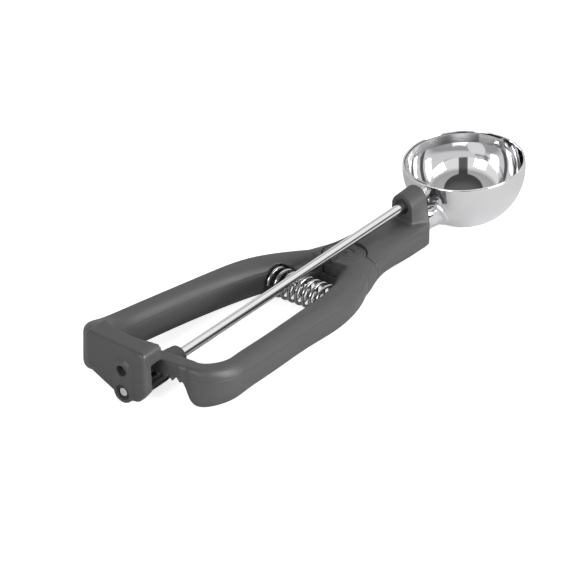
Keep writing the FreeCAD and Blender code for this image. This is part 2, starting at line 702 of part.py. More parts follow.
# The fixed moulding: head, far arm and housing in one, with its bores.
room_low = rod_height(outer_back) + pinion_pitch - tooth - 1
play = size("bar_play")
bar_room = Part.makeCylinder(size("rack_outer") + play, size("rack_top") + play - room_low,
                             hinge + Vector(0, 0, room_low))
bar_room = bar_room.cut(Part.makeCylinder(size("rack_inner") - play, TALL, hinge))
room_turn = math.radians(size("squeeze") + size("bar_before"))
room_reach = size("rack_outer") * math.sin(room_turn) + 2 * play
bar_room = bar_room.common(Part.makeBox(TALL, room_reach + 2, TALL,
                                        Vector(-outer_back - play, -2, 0)))
handle = head.cut(fixed_cut)
lower_plate = upright(hub, bottom + 0.4, split, size("hinge_back"))
handle = handle.fuse([lower_plate, far_arm.cut(fixed_cut), wall])
handle = handle.cut(bar_room)
rod_frame = Placement(Vector(0, 0, size("bowl_radius")), ON_ROD.Rotation)


def on_rod(shape):
    """A shape drawn in the rod's frame, set among those on the table."""
    shape.Placement = rod_frame
    return shape


bush_hole = size("rod_radius") + size("bush_wall")
cuts = [
    on_rod(along_x(bush_hole, -size("turret_rear") - 5, -size("head_front") - 1)),
    on_rod(along_x(size("rod_radius") + 0.5, -size("head_front") - 2,
                   -size("head_front") + 5)),
    on_rod(along_x(bush_hole, wall_x - 5, wall_x + size("wall_thick") + 1)),
    on_rod(along_x(size("plug_hole"), wall_x - 5, wall_x + size("plug_depth"),
                   z=size("plug_rise"))),
    along_x(size("neck_radius"), neck_start, 0, z=size("neck_z")),
    upright(size("pin_radius"), -5, split + 1, size("hinge_back")),
    recess(1, size("seat_far")),
]
for tool in cuts:
    handle = handle.cut(tool)
solid_of("handle_frame", handle.removeSplitter(), ON_TABLE)

# The lever: hub, near arm and rack bar in one.
lever = head.common(lever_zone).fuse(near_arm)
lever = lever.cut(lever_cut)
hub_disc = upright(hub, split + gap, size("hub_top"), size("hinge_back"))
lever = lever.fuse([hub_disc, rack])
lever_bore = upright(size("pin_radius") + size("running_gap"), split, tall,
                     size("hinge_back"))
cap_seat = upright(size("pin_cap") + size("running_gap"), cap_low, tall,
                   size("hinge_back"))
lever = lever.cut(lever_bore).cut(cap_seat).cut(recess(-1, size("seat_near")))
solid_of("lever_handle", lever.removeSplitter(), ON_TABLE)


# The return spring: one wire on a helix, as pairs of arcs that meet smoothly.
wire_half = size("spring_wire") / 2
SEAT_SLACK = 0.15
spring_from = -size("seat_near") + wire_half + SEAT_SLACK
spring_to = size("seat_far") - wire_half - SEAT_SLACK
spring_rise = (spring_to - spring_from) / size("spring_turns")
STEPS_A_TURN = 2


def spring_point(turn):
    """A point of the wire's middle after so many turns."""
    angle = 2 * math.pi * turn
    return Vector(-size("spring_back") + size("spring_radius") * math.cos(angle),
                  spring_from + spring_rise * turn,
                  size("spring_z") + size("spring_radius") * math.sin(angle))


def spring_heading(turn):
    angle = 2 * math.pi * turn
    around = 2 * math.pi * size("spring_radius")
    return Vector(-around * math.sin(angle), spring_rise,
                  around * math.cos(angle)).normalize()


def arc_by_tangent(start, corner, end):
    """The arc from start to end whose tangents cross at the corner."""
    half = (corner - start).getAngle(end - corner) / 2
    leg = (corner - start).Length
    chord_middle = (start + end) * 0.5
    sagitta = leg / math.tan(half) * (1 / math.cos(half) - 1)
    inward = (chord_middle - corner).normalize()
    return Part.Arc(start, corner + inward * sagitta, end).toShape()


def biarc(a, heading_a, b, heading_b):
    """Two arcs from a to b with the given headings at the ends."""
    across_ab = b - a
    both = heading_a + heading_b
    fold = 2 * (1 - heading_a.dot(heading_b))
    along = across_ab.dot(both)
    leg = (math.sqrt(along * along + fold * across_ab.dot(across_ab)) - along) / fold
    corner_a = a + heading_a * leg
    corner_b = b - heading_b * leg
    joint = (corner_a + corner_b) * 0.5
    return [arc_by_tangent(a, corner_a, joint), arc_by_tangent(joint, corner_b, b)]


path_edges = []
for i in range(round(size("spring_turns") * STEPS_A_TURN)):
    near_turn = i / STEPS_A_TURN
    far_turn = (i + 1) / STEPS_A_TURN
    path_edges += biarc(spring_point(near_turn), spring_heading(near_turn),
                        spring_point(far_turn), spring_heading(far_turn))
path = Part.Wire(path_edges)
ring = Part.Wire(Part.makeCircle(wire_half, spring_point(0), spring_heading(0)))
spring = path.makePipeShell([ring], True, False)
solid_of("return_spring", spring, ON_TABLE)

POINTS_A_TURN = 36
spots = [spring_point(k / POINTS_A_TURN)
         for k in range(round(size("spring_turns") * POINTS_A_TURN) + 1)]
least = min((p - q).Length for i, p in enumerate(spots)
            for q in spots[i + POINTS_A_TURN // 2:])
print("spring: least gap to itself", round(least - size("spring_wire"), 2))
wire_length = sum(edge.Length for edge in path.Edges)
print("spring: volume over section times length",
      round(spring.Volume / (math.pi * wire_half ** 2 * wire_length), 4))

doc.recompute()
for feature in doc.Objects:
    for word in ("Invalid", "Error"):
        if word in feature.State:
            raise RuntimeError(f"{feature.Name} is {feature.State}")
for part in parts:
    shape = part.Shape
    if shape.isNull() or not shape.isValid():
        raise RuntimeError(f"{part.Label} has no valid shape")
    box = shape.BoundBox
    print(part.Label, len(shape.Solids), round(shape.Volume, 1),
          [round(v, 1) for v in (box.XMin, box.XMax, box.YMin, box.YMax,
                                 box.ZMin, box.ZMax)])
os.makedirs("parts", exist_ok=True)
for part in parts:
    part.Shape.exportStep(f"parts/{part.Label}.step")
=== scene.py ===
# %% [markdown]
# # A lever ice cream scoop
#
# A mirror-bright bowl sits on the end of a dark moulded handle. Squeezing the
# lever drives a rack over a pinion, and the rod with the pinion swings a thin
# scraper round the inside of the bowl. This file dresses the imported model:
# each real piece gets its own smooth mesh and its own finish. Lengths are in
# metres, with +X towards the bowl, +Y towards the fixed arm and +Z up.

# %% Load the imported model
import bmesh
import bpy
import json
import math
from mathutils import Matrix, Vector


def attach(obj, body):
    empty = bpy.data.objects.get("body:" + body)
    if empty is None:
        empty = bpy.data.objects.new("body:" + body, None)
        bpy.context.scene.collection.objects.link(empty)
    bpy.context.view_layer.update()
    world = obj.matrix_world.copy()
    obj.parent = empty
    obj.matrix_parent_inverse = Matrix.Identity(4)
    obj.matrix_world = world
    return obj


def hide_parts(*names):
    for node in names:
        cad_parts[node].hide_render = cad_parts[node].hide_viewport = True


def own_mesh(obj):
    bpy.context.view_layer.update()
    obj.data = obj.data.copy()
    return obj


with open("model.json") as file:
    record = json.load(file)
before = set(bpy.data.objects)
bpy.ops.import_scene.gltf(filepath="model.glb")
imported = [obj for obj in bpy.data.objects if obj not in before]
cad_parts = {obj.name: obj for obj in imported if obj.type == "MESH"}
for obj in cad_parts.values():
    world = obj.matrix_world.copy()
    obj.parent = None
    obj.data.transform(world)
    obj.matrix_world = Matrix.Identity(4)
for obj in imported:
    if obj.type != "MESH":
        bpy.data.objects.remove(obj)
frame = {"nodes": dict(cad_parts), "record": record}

scene = bpy.context.scene
nodes = frame["nodes"]
body_of_node = {}
for body_name, members in frame["record"]["behaviour"]["bodies"].items():
    for member in members:
        body_of_node[member] = body_name
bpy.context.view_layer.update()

# %% [markdown]
# ## Sizes that the dressed pieces share
#
# The round pieces are drawn again here with finer facets, because a polished
# surface shows every flat. They follow the same few sizes as the model.

# %% Shared sizes
MM = 0.001
BOWL_MIDDLE = Vector((93.02, 0.0, 24.8)) * MM
BOWL_RADIUS = 24.8 * MM
BOWL_WALL = 0.8 * MM
RIM_RISE = 2.4 * MM
ROD_TILT = math.radians(5.45)
ROD_RADIUS = 2.0 * MM
ROD_REAR = -210.2 * MM
STRIP_RADIUS = 23.2 * MM
STRIP_THICK = 0.8 * MM
STRIP_WIDTH = 4.0 * MM
TAB_INSET = 0.9 * MM
TAB_REACH = 2.7 * MM
NECK_Z = 12.0 * MM
HINGE = Vector((17.02, 0.0, 0.0)) * MM
SPRING_MIDDLE = Vector((-7.48, 0.0, 6.6)) * MM

# A frame along the rod: X runs along it, with its origin at the bowl's centre.
ON_ROD = Matrix.Translation(BOWL_MIDDLE) @ Matrix.Rotation(-ROD_TILT, 4, "Y")
UNDER_BOWL = Matrix.Translation((BOWL_MIDDLE.x, 0.0, 0.0))
print("rod's rear end:", [round(v, 4) for v in ON_ROD @ Vector((ROD_REAR, 0, 0))])

# %% [markdown]
# ## Tools for materials
#
# Every finish is a node tree. Short helpers keep the trees readable: they add
# any node with its settings, a step of arithmetic, a ramp of greys, and a mix of
# two colours by a mask.

# %% Helpers for node trees
def add_node(tree, kind, **settings):
    """A new node of a tree, with its properties set."""
    made = tree.nodes.new(kind)
    for key, value in settings.items():
        setattr(made, key, value)
    return made


def math_node(tree, operation, first, second=None):
    """A maths node fed by sockets or by plain numbers."""
    made = add_node(tree, "ShaderNodeMath", operation=operation)
    for socket, value in zip(made.inputs, (first, second)):
        if value is None:
            continue
        if isinstance(value, (int, float)):
            socket.default_value = value
        else:
            tree.links.new(value, socket)
    return made.outputs[0]


def ramp_node(tree, source, stops):
    """A colour ramp from (place, grey) stops."""
    made = add_node(tree, "ShaderNodeValToRGB")
    marks = made.color_ramp.elements
    while len(marks) < len(stops):
        marks.new(0.5)
    for mark, (place, grey) in zip(marks, stops):
        mark.position = place
        mark.color = (grey, grey, grey, 1.0)
    tree.links.new(source, made.inputs["Fac"])
    return made.outputs["Color"]


def mix_node(tree, mask, first, second):
    """The first colour where the mask is 0 and the second where it is 1."""
    made = add_node(tree, "ShaderNodeMix", data_type="RGBA")
    made.inputs[6].default_value = (*first, 1.0)
    made.inputs[7].default_value = (*second, 1.0)
    tree.links.new(mask, made.inputs["Factor"])
    return made.outputs[2]


def new_material(name):
    """An empty material with its shader and its Object coordinates."""
    made = bpy.data.materials.new(name)
    made.use_nodes = True
    tree = made.node_tree
    shader = tree.nodes["Principled BSDF"]
    place = add_node(tree, "ShaderNodeTexCoord").outputs["Object"]
    return made, tree, shader, place


# %% [markdown]
# ## Grain: an effect that several finishes share
#
# Moulded plastic carries a fine eroded texture, and even polished steel has
# faint cloudy smears. Both are the same thing at different scales: a fine
# noise for the height and a broad one for the shade. So it is one node group
# with named inputs, built once.

# %% The grain group
def make_grain_group():
    """Fine height and broad shade from noise."""
    group = bpy.data.node_groups.new("surface grain", "ShaderNodeTree")
    face = group.interface
    face.new_socket("Place", in_out="INPUT", socket_type="NodeSocketVector")
    for title, start in (("Fine Scale", 2500.0), ("Broad Scale", 60.0)):
        socket = face.new_socket(title, in_out="INPUT", socket_type="NodeSocketFloat")
        socket.default_value = start
    face.new_socket("Height", in_out="OUTPUT", socket_type="NodeSocketFloat")
    face.new_socket("Broad", in_out="OUTPUT", socket_type="NodeSocketFloat")
    entry = add_node(group, "NodeGroupInput")
    leave = add_node(group, "NodeGroupOutput")
    for scale, target, detail in (("Fine Scale", "Height", 3.0),
                                  ("Broad Scale", "Broad", 2.0)):
        noise = add_node(group, "ShaderNodeTexNoise")
        noise.inputs["Detail"].default_value = detail
        group.links.new(entry.outputs["Place"], noise.inputs["Vector"])
        group.links.new(entry.outputs[scale], noise.inputs["Scale"])
        group.links.new(noise.outputs["Fac"], leave.inputs[target])
    return group


GRAIN = make_grain_group()


def add_grain(tree, place, fine, broad):
    """The grain group in a material, with its own scales."""
    made = add_node(tree, "ShaderNodeGroup", node_tree=GRAIN)
    tree.links.new(place, made.inputs["Place"])
    made.inputs["Fine Scale"].default_value = fine
    made.inputs["Broad Scale"].default_value = broad
    return made


def add_bump(tree, shader, height):
    """A bump ahead of the shader, from a height in metres."""
    bump = add_node(tree, "ShaderNodeBump")
    bump.inputs["Strength"].default_value = 1.0
    bump.inputs["Distance"].default_value = 1.0
    tree.links.new(height, bump.inputs["Height"])
    tree.links.new(bump.outputs["Normal"], shader.inputs["Normal"])


print("group sockets:", [item.name for item in GRAIN.interface.items_tree])

# %% [markdown]
# ## Moulded plastic
#
# The handle is a neutral dark grey moulding with a fine matte texture. Its
# colour hardly varies, but handling has polished it a little in broad patches.
# A hairline shows where the two halves of the mould met, half way up, so a thin
# dip in the height follows one level.

# %% Plastic finishes
PLASTIC_FINE = 2600.0
PLASTIC_BROAD = 70.0
PLASTIC_SHADE = 0.14
PLASTIC_POLISH = 0.06
PLASTIC_DEPTH = 0.06 * MM
MOULD_LINE_Z = 12.1 * MM
MOULD_LINE_HALF = 0.22 * MM
MOULD_LINE_DEPTH = 0.12 * MM
RING_PITCH = 1.1 * MM
RING_OUTER = 8.2 * MM
RING_ABOVE = 13.6 * MM
RING_DEPTH = 0.06 * MM


def plastic(name, colour, rough, mould_line=False, rings=False):
    """Fine-textured moulded plastic."""
    made, tree, shader, place = new_material(name)
    grain = add_grain(tree, place, PLASTIC_FINE, PLASTIC_BROAD)
    tint = mix_node(tree, grain.outputs["Broad"],
                    [c * (1 - PLASTIC_SHADE) for c in colour],
                    [c * (1 + PLASTIC_SHADE) for c in colour])
    tree.links.new(tint, shader.inputs["Base Color"])
    rough_way = ramp_node(tree, grain.outputs["Broad"],
                          [(0.3, rough - PLASTIC_POLISH), (0.7, rough + PLASTIC_POLISH)])
    tree.links.new(rough_way, shader.inputs["Roughness"])
    height = math_node(tree, "MULTIPLY", grain.outputs["Height"], PLASTIC_DEPTH)
    parts = add_node(tree, "ShaderNodeSeparateXYZ")
    tree.links.new(place, parts.inputs[0])
    if mould_line:
        height = add_mould_line(tree, parts, height)
    if rings:
        height = add_rings(tree, parts, height)
    add_bump(tree, shader, height)
    return made


def add_mould_line(tree, parts, height):
    """A thin dip along one level, where the mould closed."""
    off = math_node(tree, "ABSOLUTE", math_node(
        tree, "SUBTRACT", parts.outputs["Z"], MOULD_LINE_Z))
    line = math_node(tree, "SUBTRACT", 1.0, math_node(
        tree, "MINIMUM", math_node(tree, "DIVIDE", off, MOULD_LINE_HALF), 1.0))
    dip = math_node(tree, "MULTIPLY", line, MOULD_LINE_DEPTH)
    return math_node(tree, "SUBTRACT", height, dip)


def add_rings(tree, parts, height):
    """Turned rings round the hinge, on the top of the hub."""
    aside = math_node(tree, "SUBTRACT", parts.outputs["X"], HINGE.x)
    square = math_node(tree, "ADD", math_node(tree, "MULTIPLY", aside, aside),
                       math_node(tree, "MULTIPLY", parts.outputs["Y"], parts.outputs["Y"]))
    radius = math_node(tree, "SQRT", square)
    wave = math_node(tree, "SINE", math_node(
        tree, "MULTIPLY", radius, 2 * math.pi / RING_PITCH))
    inside = math_node(tree, "LESS_THAN", radius, RING_OUTER)
    high = math_node(tree, "GREATER_THAN", parts.outputs["Z"], RING_ABOVE)
    mask = math_node(tree, "MULTIPLY", inside, high)
    ripple = math_node(tree, "MULTIPLY", math_node(
        tree, "MULTIPLY", wave, mask), RING_DEPTH)
    return math_node(tree, "ADD", height, ripple)


GREY = (0.057, 0.057, 0.0583)
fixed_plastic = plastic("fixed moulding plastic", GREY, 0.46, mould_line=True)
lever_plastic = plastic("lever plastic", GREY, 0.46, mould_line=True, rings=True)
gear_plastic = plastic("gear plastic", (0.044, 0.044, 0.045), 0.42)
# The bushes are pieces of the model. Their near-black colour also paints the shade in the
# gaps round the rod.
black_bush_and_gap_shade = plastic("black bush plastic and painted gap shade", (0.016, 0.016, 0.017), 0.36)
print("plastics:", [m.name for m in bpy.data.materials if "plastic" in m.name])

# %% [markdown]
# ## Steel
#
# The bowl is polished almost to a mirror, the rod is ground bright, and the
# scraper still shows the fine lines of the strip that it was cut from. All of
# them are plain metal: what makes them differ is the roughness, and in which
# direction the fine height is stretched.

# %% Steel finishes
STEEL_FINE = 1800.0
STEEL_BROAD = 40.0
STEEL_SHADE = 0.05
STEEL_POLISH = 0.25


def steel(name, colour, rough, stretch, lines):
    """Steel whose faint lines run along the axes with a small stretch."""
    made, tree, shader, place = new_material(name)
    mapping = add_node(tree, "ShaderNodeMapping")
    mapping.inputs["Scale"].default_value = stretch
    tree.links.new(place, mapping.inputs["Vector"])
    grain = add_grain(tree, mapping.outputs["Vector"], STEEL_FINE, STEEL_BROAD)
    shader.inputs["Metallic"].default_value = 1.0
    tint = mix_node(tree, grain.outputs["Broad"],
                    [c * (1 - STEEL_SHADE) for c in colour], colour)
    tree.links.new(tint, shader.inputs["Base Color"])
    rough_way = ramp_node(tree, grain.outputs["Broad"],
                          [(0.3, rough * (1 - STEEL_POLISH)),
                           (0.7, rough * (1 + STEEL_POLISH))])
    tree.links.new(rough_way, shader.inputs["Roughness"])
    height = math_node(tree, "MULTIPLY", grain.outputs["Height"], lines)
    add_bump(tree, shader, height)
    return made


BRIGHT = (0.83, 0.83, 0.84)
bowl_steel = steel("polished bowl steel", BRIGHT, 0.055, (0.1, 0.1, 1.0), 0.0022 * MM)
rod_steel = steel("ground rod steel", BRIGHT, 0.10, (0.05, 1.0, 1.0), 0.002 * MM)
scraper_steel = steel("brushed strip steel", (0.74, 0.74, 0.75), 0.20,
                      (0.15, 0.15, 1.0), 0.02 * MM)
wire_steel = steel("drawn wire steel", (0.52, 0.52, 0.53), 0.17,
                   (1.0, 1.0, 1.0), 0.006 * MM)
print("steels:", [m.name for m in bpy.data.materials if "steel" in m.name])

# %% [markdown]
# ## Turned pieces
#
# A bowl, a rod, a bush and a rivet are all one curve turned about an axis. The
# helper spins a list of (along, radius) points about X and joins the rings with
# quads. It then checks the signed volume, so that the faces point outwards.

# %% A helper for turned pieces
TURN_STEPS = 96
SMALL_STEPS = 64
WELD = 1e-7


def finish_piece(name, mesh_bm, matrix, material, node, sharp=35.0):
    """Makes the object, shades it, hangs it on its node's body and hides the node."""
    mesh_bm.transform(matrix)
    bmesh.ops.remove_doubles(mesh_bm, verts=mesh_bm.verts, dist=WELD)
    if mesh_bm.calc_volume(signed=True) < 0:
        bmesh.ops.reverse_faces(mesh_bm, faces=mesh_bm.faces)
    mesh = bpy.data.meshes.new(name)
    mesh_bm.to_mesh(mesh)
    mesh_bm.free()
    mesh.shade_smooth()
    mesh.set_sharp_from_angle(angle=math.radians(sharp))
    piece = bpy.data.objects.new(name, mesh)
    scene.collection.objects.link(piece)
    mesh.materials.append(material)
    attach(piece, body_of_node[node])
    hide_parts(node)
    print(name, len(mesh.polygons), "faces")
    return piece


def turned_mesh(profile, steps=TURN_STEPS):
    """A mesh turned about X from points of (along, radius)."""
    made = bmesh.new()
    rings = []
    for along, radius in profile:
        if radius == 0:
            rings.append([made.verts.new((along, 0.0, 0.0))])
            continue
        angles = [2 * math.pi * k / steps for k in range(steps)]
        rings.append([made.verts.new((along, radius * math.cos(a), radius * math.sin(a)))
                      for a in angles])
    for near, far in zip(rings, rings[1:]):
        for k in range(steps):
            after = (k + 1) % steps
            corners = [near[k % len(near)], near[after % len(near)],
                       far[after % len(far)], far[k % len(far)]]
            made.faces.new(list(dict.fromkeys(corners)))
    return made


# %% [markdown]
# ## The bowl
#
# The bowl is a thin shell cut level with its rim, which is rolled a little
# round. The profile runs up the outside, over the rim and down the inside. It is
# turned about the upright axis, so the profile is drawn along X and then stood
# up, and the whole is tilted as the rod is.

# %% The bowl
SHELL_STEPS = 72
RIM_STEPS = 6
RIM_TURN = 0.008
RIM_ROUND = 0.2 * MM


def bowl_profile():
    """Outside, rim and inside of the shell, as (height, radius)."""
    points = []
    inner = BOWL_RADIUS - BOWL_WALL
    top_turn = math.asin(RIM_RISE / BOWL_RADIUS)
    for k in range(SHELL_STEPS + 1):
        turn = -math.pi / 2 + (top_turn + math.pi / 2 - RIM_TURN) * k / SHELL_STEPS
        points.append((BOWL_RADIUS * math.sin(turn), BOWL_RADIUS * math.cos(turn)))
    middle = BOWL_RADIUS * math.cos(top_turn) - BOWL_WALL / 2
    for k in range(1, RIM_STEPS):
        turn = math.pi * k / RIM_STEPS
        points.append((RIM_RISE - RIM_ROUND + RIM_ROUND * math.sin(turn),
                       middle + BOWL_WALL / 2 * math.cos(turn)))
    inner_turn = math.asin(RIM_RISE / inner) - RIM_TURN
    for k in range(SHELL_STEPS + 1):
        turn = inner_turn - (inner_turn + math.pi / 2) * k / SHELL_STEPS
        points.append((inner * math.sin(turn), inner * math.cos(turn)))
    points[0] = (points[0][0], 0.0)
    points[-1] = (points[-1][0], 0.0)
    return points


STAND = Matrix.Rotation(-math.pi / 2, 4, "Y")
finish_piece("bowl_shell", turned_mesh(bowl_profile(), 160), ON_ROD @ STAND,
             bowl_steel, "bowl", sharp=60)

# %% [markdown]
# ## The drive rod, its bushes and the rivet
#
# These run along the rod's own axis. The rod's rear end is chamfered, and its
# front end is turned down, goes through the scraper and is peened over.

# %% Rod, bushes and rivet
TAB = STRIP_RADIUS - TAB_INSET
HALF_STRIP = STRIP_THICK / 2
ROD_CHAMFER = 0.3 * MM
STUD_RADIUS = 1.2 * MM
PEEN_RADIUS = 1.8 * MM
PEEN_EDGE = 1.74 * MM
rod_profile = [
    (ROD_REAR, 0.0), (ROD_REAR, ROD_RADIUS - ROD_CHAMFER),
    (ROD_REAR + ROD_CHAMFER, ROD_RADIUS),
    (-TAB - HALF_STRIP, ROD_RADIUS), (-TAB - HALF_STRIP, STUD_RADIUS),
    (-TAB + HALF_STRIP, STUD_RADIUS), (-TAB + HALF_STRIP, PEEN_RADIUS),
    (-TAB + HALF_STRIP + ROD_CHAMFER, PEEN_EDGE),
    (-TAB + STRIP_THICK * 1.5, STUD_RADIUS), (-TAB + STRIP_THICK * 1.5, 0.0),
]
finish_piece("polished_rod", turned_mesh(rod_profile), ON_ROD,
             rod_steel, "drive_rod")

# The rivet clears the strip by a little and lies on the outside of the bowl.
STRIP_FACE = TAB - HALF_STRIP - 0.12 * MM
SHELL_FACE = BOWL_RADIUS + 0.06 * MM
RIVET_PIN = 1.0 * MM
RIVET_HEAD = 1.7 * MM
rivet_profile = [
    (TAB - STRIP_THICK * 1.5, 0.0), (TAB - STRIP_THICK * 1.5, 0.8 * MM),
    (TAB - STRIP_THICK * 1.1, 1.4 * MM), (STRIP_FACE, RIVET_HEAD),
    (STRIP_FACE, RIVET_PIN), (SHELL_FACE, RIVET_PIN), (SHELL_FACE, RIVET_HEAD),
    (BOWL_RADIUS + 0.25 * MM, 1.5 * MM), (BOWL_RADIUS + 0.4 * MM, RIVET_PIN),
    (BOWL_RADIUS + 0.4 * MM, 0.0),
]
finish_piece("scraper_pivot", turned_mesh(rivet_profile, 48), ON_ROD,
             rod_steel, "scraper_rivet")

BUSH_BORE = 2.06 * MM
BUSH_OUTER = 3.1 * MM
BUSH_CHAMFER = 0.2 * MM


def bush_profile(start, end):
    """A closed ring with small chamfers, as (along, radius)."""
    return [(start, BUSH_BORE), (start, BUSH_OUTER - BUSH_CHAMFER),
            (start + BUSH_CHAMFER, BUSH_OUTER), (end - BUSH_CHAMFER, BUSH_OUTER),
            (end, BUSH_OUTER - BUSH_CHAMFER), (end, BUSH_BORE), (start, BUSH_BORE)]


# The bushes are near black. That colour also paints the shade in the gaps where the rod
# enters the head and the rear wall.
for piece_name, node_name, start, end in (("front_ring", "front_bush", -40.0, -31.7),
                                          ("rear_ring", "rear_bush", -210.5, -205.6)):
    finish_piece(piece_name, turned_mesh(bush_profile(start * MM, end * MM), SMALL_STEPS),
                 ON_ROD, black_bush_and_gap_shade, node_name)

# %% [markdown]
# ## The scraper
#
# A flat strip is bent to a half ring. At both ends it leaves the circle and
# crosses the rod's axis as a square tab. The strip's middle line is a list of
# places and headings, and a rectangle is swept along it.

# %% The scraper strip
TAB_TURN = math.radians(22)
BEND_LEAD = 0.4 * MM
STRIP_DROP = Vector((0, 0, -0.1 * MM))
BEND_STEPS = 64


def strip_line():
    """The middle line of the strip, with its outward direction."""
    line = []
    tab_run = Vector((-math.cos(TAB_TURN) * STRIP_RADIUS + TAB,
                      math.sin(TAB_TURN) * STRIP_RADIUS - TAB_REACH, 0)).normalized()
    for y in (-TAB_REACH, 0.0, TAB_REACH * 0.9):
        line.append((Vector((-TAB, y, 0)), Vector((-1, 0, 0))))
    line.append((Vector((-TAB, TAB_REACH, 0)) + tab_run * BEND_LEAD,
                 Vector((-tab_run.y, tab_run.x, 0))))
    for k in range(BEND_STEPS + 1):
        turn = math.pi - TAB_TURN - (math.pi - 2 * TAB_TURN) * k / BEND_STEPS
        out = Vector((math.cos(turn), math.sin(turn), 0))
        line.append((out * STRIP_RADIUS, out))
    mirrored = [(Vector((-p.x, p.y, 0)), Vector((-o.x, o.y, 0))) for p, o in line[:4]]
    return line + mirrored[::-1]


def strip_mesh():
    """The rectangle swept along the strip's line."""
    made = bmesh.new()
    rings = []
    for spot, out in strip_line():
        corners = []
        for side, rise in ((1, 1), (1, -1), (-1, -1), (-1, 1)):
            lift = Vector((0, 0, rise * STRIP_WIDTH / 2))
            corners.append(made.verts.new(
                spot + out * side * HALF_STRIP + lift + STRIP_DROP))
        rings.append(corners)
    for near, far in zip(rings, rings[1:]):
        for k in range(4):
            made.faces.new((near[k], near[(k + 1) % 4], far[(k + 1) % 4], far[k]))
    made.faces.new(rings[0])
    made.faces.new(rings[-1][::-1])
    return made


finish_piece("scraper_strip", strip_mesh(), ON_ROD, scraper_steel,
             "scraper", sharp=30)

# %% [markdown]
# ## The neck
#
# A steel tube joins the handle's head to the bowl, with a thin welded flange
# that lies on the sphere. Each ring of the mesh is a circle about the tube's
# axis, and those of the flange are pushed along X onto the sphere.

# %% The neck tube and its flange
NECK_REAR = -38.7 * MM

# Each ring in millimetres: the radius of the sphere that it lies on, or None at
# the tube's rear end, and its own radius.
NECK_RINGS = [(None, 5.0), (None, 6.0), (25.7, 6.0), (25.7, 6.9), (25.6, 7.35),
              (25.3, 7.5), (24.82, 7.5), (24.82, 5.0)]


def on_sphere(around, upward, radius):
    """Where a line along X meets the bowl's sphere, behind its centre."""
    rise = NECK_Z + upward - BOWL_RADIUS
    return -math.sqrt(radius * radius - around * around - rise * rise)


def neck_mesh():
    """The rings joined to a tube whose front end lies on the bowl."""
    made = bmesh.new()
    rings = []
    for sphere, radius in NECK_RINGS:
        ring = []
        for k in range(TURN_STEPS):
            turn = 2 * math.pi * k / TURN_STEPS
            y = radius * MM * math.cos(turn)
            z = radius * MM * math.sin(turn)
            x = NECK_REAR if sphere is None else on_sphere(y, z, sphere * MM)
            ring.append(made.verts.new((x, y, NECK_Z + z)))
        rings.append(ring)
    for near, far in zip(rings, rings[1:] + rings[:1]):
        for k in range(TURN_STEPS):
            after = (k + 1) % TURN_STEPS
            made.faces.new((near[k], near[after], far[after], far[k]))
    return made


finish_piece("neck_and_flange", neck_mesh(), UNDER_BOWL, bowl_steel,
             "neck_tube")

# %% [markdown]
# ## Moulded pieces
#
# The two mouldings and the pinion have soft edges, because a mould is never
# quite sharp. A copy of each solid is merged and given an even skin with a voxel
# remesh, and a few rounds of smoothing then soften its edges by about half a
# millimetre. The head's lower front edge has a larger round, so the points
# beyond its arc are pulled back onto it.

# %% A helper for moulded pieces
SOLID_WELD = 1e-6
CHIN_FRONT = 62.32 * MM
CHIN_LOW = 1.8 * MM
CHIN_ROUND = 8.5 * MM


def moulded(node, name, material, voxel, rounds, shape=None):
    """An evenly meshed, softened copy of a solid, which shape may still move."""
    copy = bpy.data.objects.new(name + "_start", nodes[node].data.copy())
    scene.collection.objects.link(copy)
    merge = bmesh.new()
    merge.from_mesh(copy.data)
    bmesh.ops.remove_doubles(merge, verts=merge.verts, dist=SOLID_WELD)
    merge.to_mesh(copy.data)
    merge.free()
    skin = copy.modifiers.new("skin", "REMESH")
    skin.mode = "VOXEL"
    skin.voxel_size = voxel
    soften = copy.modifiers.new("soften", "SMOOTH")
    soften.factor = 0.5
    soften.iterations = rounds
    graph = bpy.context.evaluated_depsgraph_get()
    result = bpy.data.meshes.new_from_object(copy.evaluated_get(graph))
    bpy.data.objects.remove(copy)
    work = bmesh.new()
    work.from_mesh(result)
    if shape:
        shape(work)
    finish_piece(name, work, Matrix.Identity(4), material, node, sharp=180)


def ease_chin(work):
    """Rounds the lower front edge of the head by pulling points onto an arc."""
    middle_x = CHIN_FRONT - CHIN_ROUND
    middle_z = CHIN_LOW + CHIN_ROUND
    for vert in work.verts:
        ahead = vert.co.x - middle_x
        below = middle_z - vert.co.z
        reach = math.hypot(ahead, below)
        if ahead > 0 and below > 0 and reach > CHIN_ROUND:
            vert.co.x = middle_x + ahead * CHIN_ROUND / reach
            vert.co.z = middle_z - below * CHIN_ROUND / reach


# %% The mouldings
moulded("handle_frame", "fixed_moulding", fixed_plastic,
        0.45 * MM, 2, ease_chin)
moulded("lever_handle", "squeeze_lever", lever_plastic, 0.40 * MM, 2)
moulded("pinion", "rod_pinion", gear_plastic, 0.22 * MM, 3)

# %% [markdown]
# ## The hinge pin
#
# The pin's cap lies in the top of the hub. It is turned about an upright axis,
# with a shallow dish in the middle and a soft edge.

# %% The hinge pin
PIN_POINTS = [
    (1.8, 0.0), (1.8, 2.6), (13.0, 2.6), (13.0, 3.8), (13.95, 3.8), (14.2, 3.5),
    (14.2, 1.2), (13.9, 0.9), (13.9, 0.0),
]
pin_profile = [(height * MM, radius * MM) for height, radius in PIN_POINTS]
PIN_PLACE = Matrix.Translation(HINGE) @ STAND
finish_piece("hinge_cap", turned_mesh(pin_profile, SMALL_STEPS), PIN_PLACE,
             lever_plastic, "hinge_pin")

# %% [markdown]
# ## The return spring
#
# A spring is a rule, not a shape: so many turns, a radius and a pitch. Geometry
# Nodes hold that rule. A spiral curve gets a round section, the result is
# realized and given its material, and it is then turned into a plain mesh.

